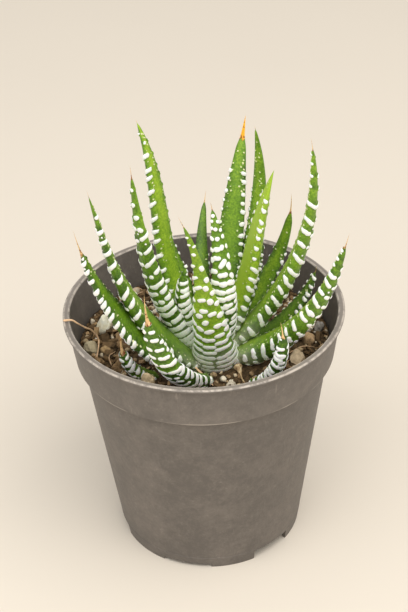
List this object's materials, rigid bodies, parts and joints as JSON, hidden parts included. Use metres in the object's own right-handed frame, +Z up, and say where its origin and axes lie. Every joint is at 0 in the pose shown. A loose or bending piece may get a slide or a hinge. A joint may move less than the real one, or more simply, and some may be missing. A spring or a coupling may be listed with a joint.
{
  "type": "potted zebra haworthia",
  "caption": "Small banded succulent rosette of pointed leaves growing in a round tapered plastic nursery pot filled with gritty potting mix.",
  "frame": {"origin": "middle of the pot's footprint, on the surface that the pot stands on", "axes": "+Z up along the pot's axis; -Y is the front that the camera looks at, with +X to its right"},
  "size_m": [0.085, 0.085, 0.14],
  "materials": {
    "pot_plastic": "satin",
    "potting_mix": "matte",
    "stem": "matte",
    "leaf": "satin",
    "pumice": "matte",
    "gravel": "matte",
    "dry_root": "matte",
    "dry_leaf": "matte"
  },
  "bodies": {
    "root": {"pot": "pot_plastic", "potting_mix": "potting_mix", "stem": "stem", "leaf_01": "leaf", "leaf_02": "leaf", "leaf_03": "leaf", "leaf_04": "leaf", "leaf_05": "leaf", "leaf_06": "leaf", "leaf_07": "leaf", "leaf_08": "leaf", "leaf_09": "leaf", "leaf_10": "leaf", "leaf_11": "leaf", "leaf_12": "leaf", "leaf_13": "leaf", "leaf_14": "leaf", "leaf_15": "leaf", "leaf_16": "leaf", "leaf_17": "leaf", "leaf_18": "leaf", "leaf_19": "leaf", "leaf_20": "leaf", "leaf_21": "leaf", "leaf_22": "leaf", "pebble_1": "pumice", "pebble_2": "gravel", "pebble_3": "gravel", "pebble_4": "gravel", "pebble_5": "pumice", "pebble_6": "gravel", "pebble_7": "gravel", "pebble_8": "gravel", "rootlet": "dry_root", "leaf_stub": "dry_leaf"}
  },
  "joints": []
}
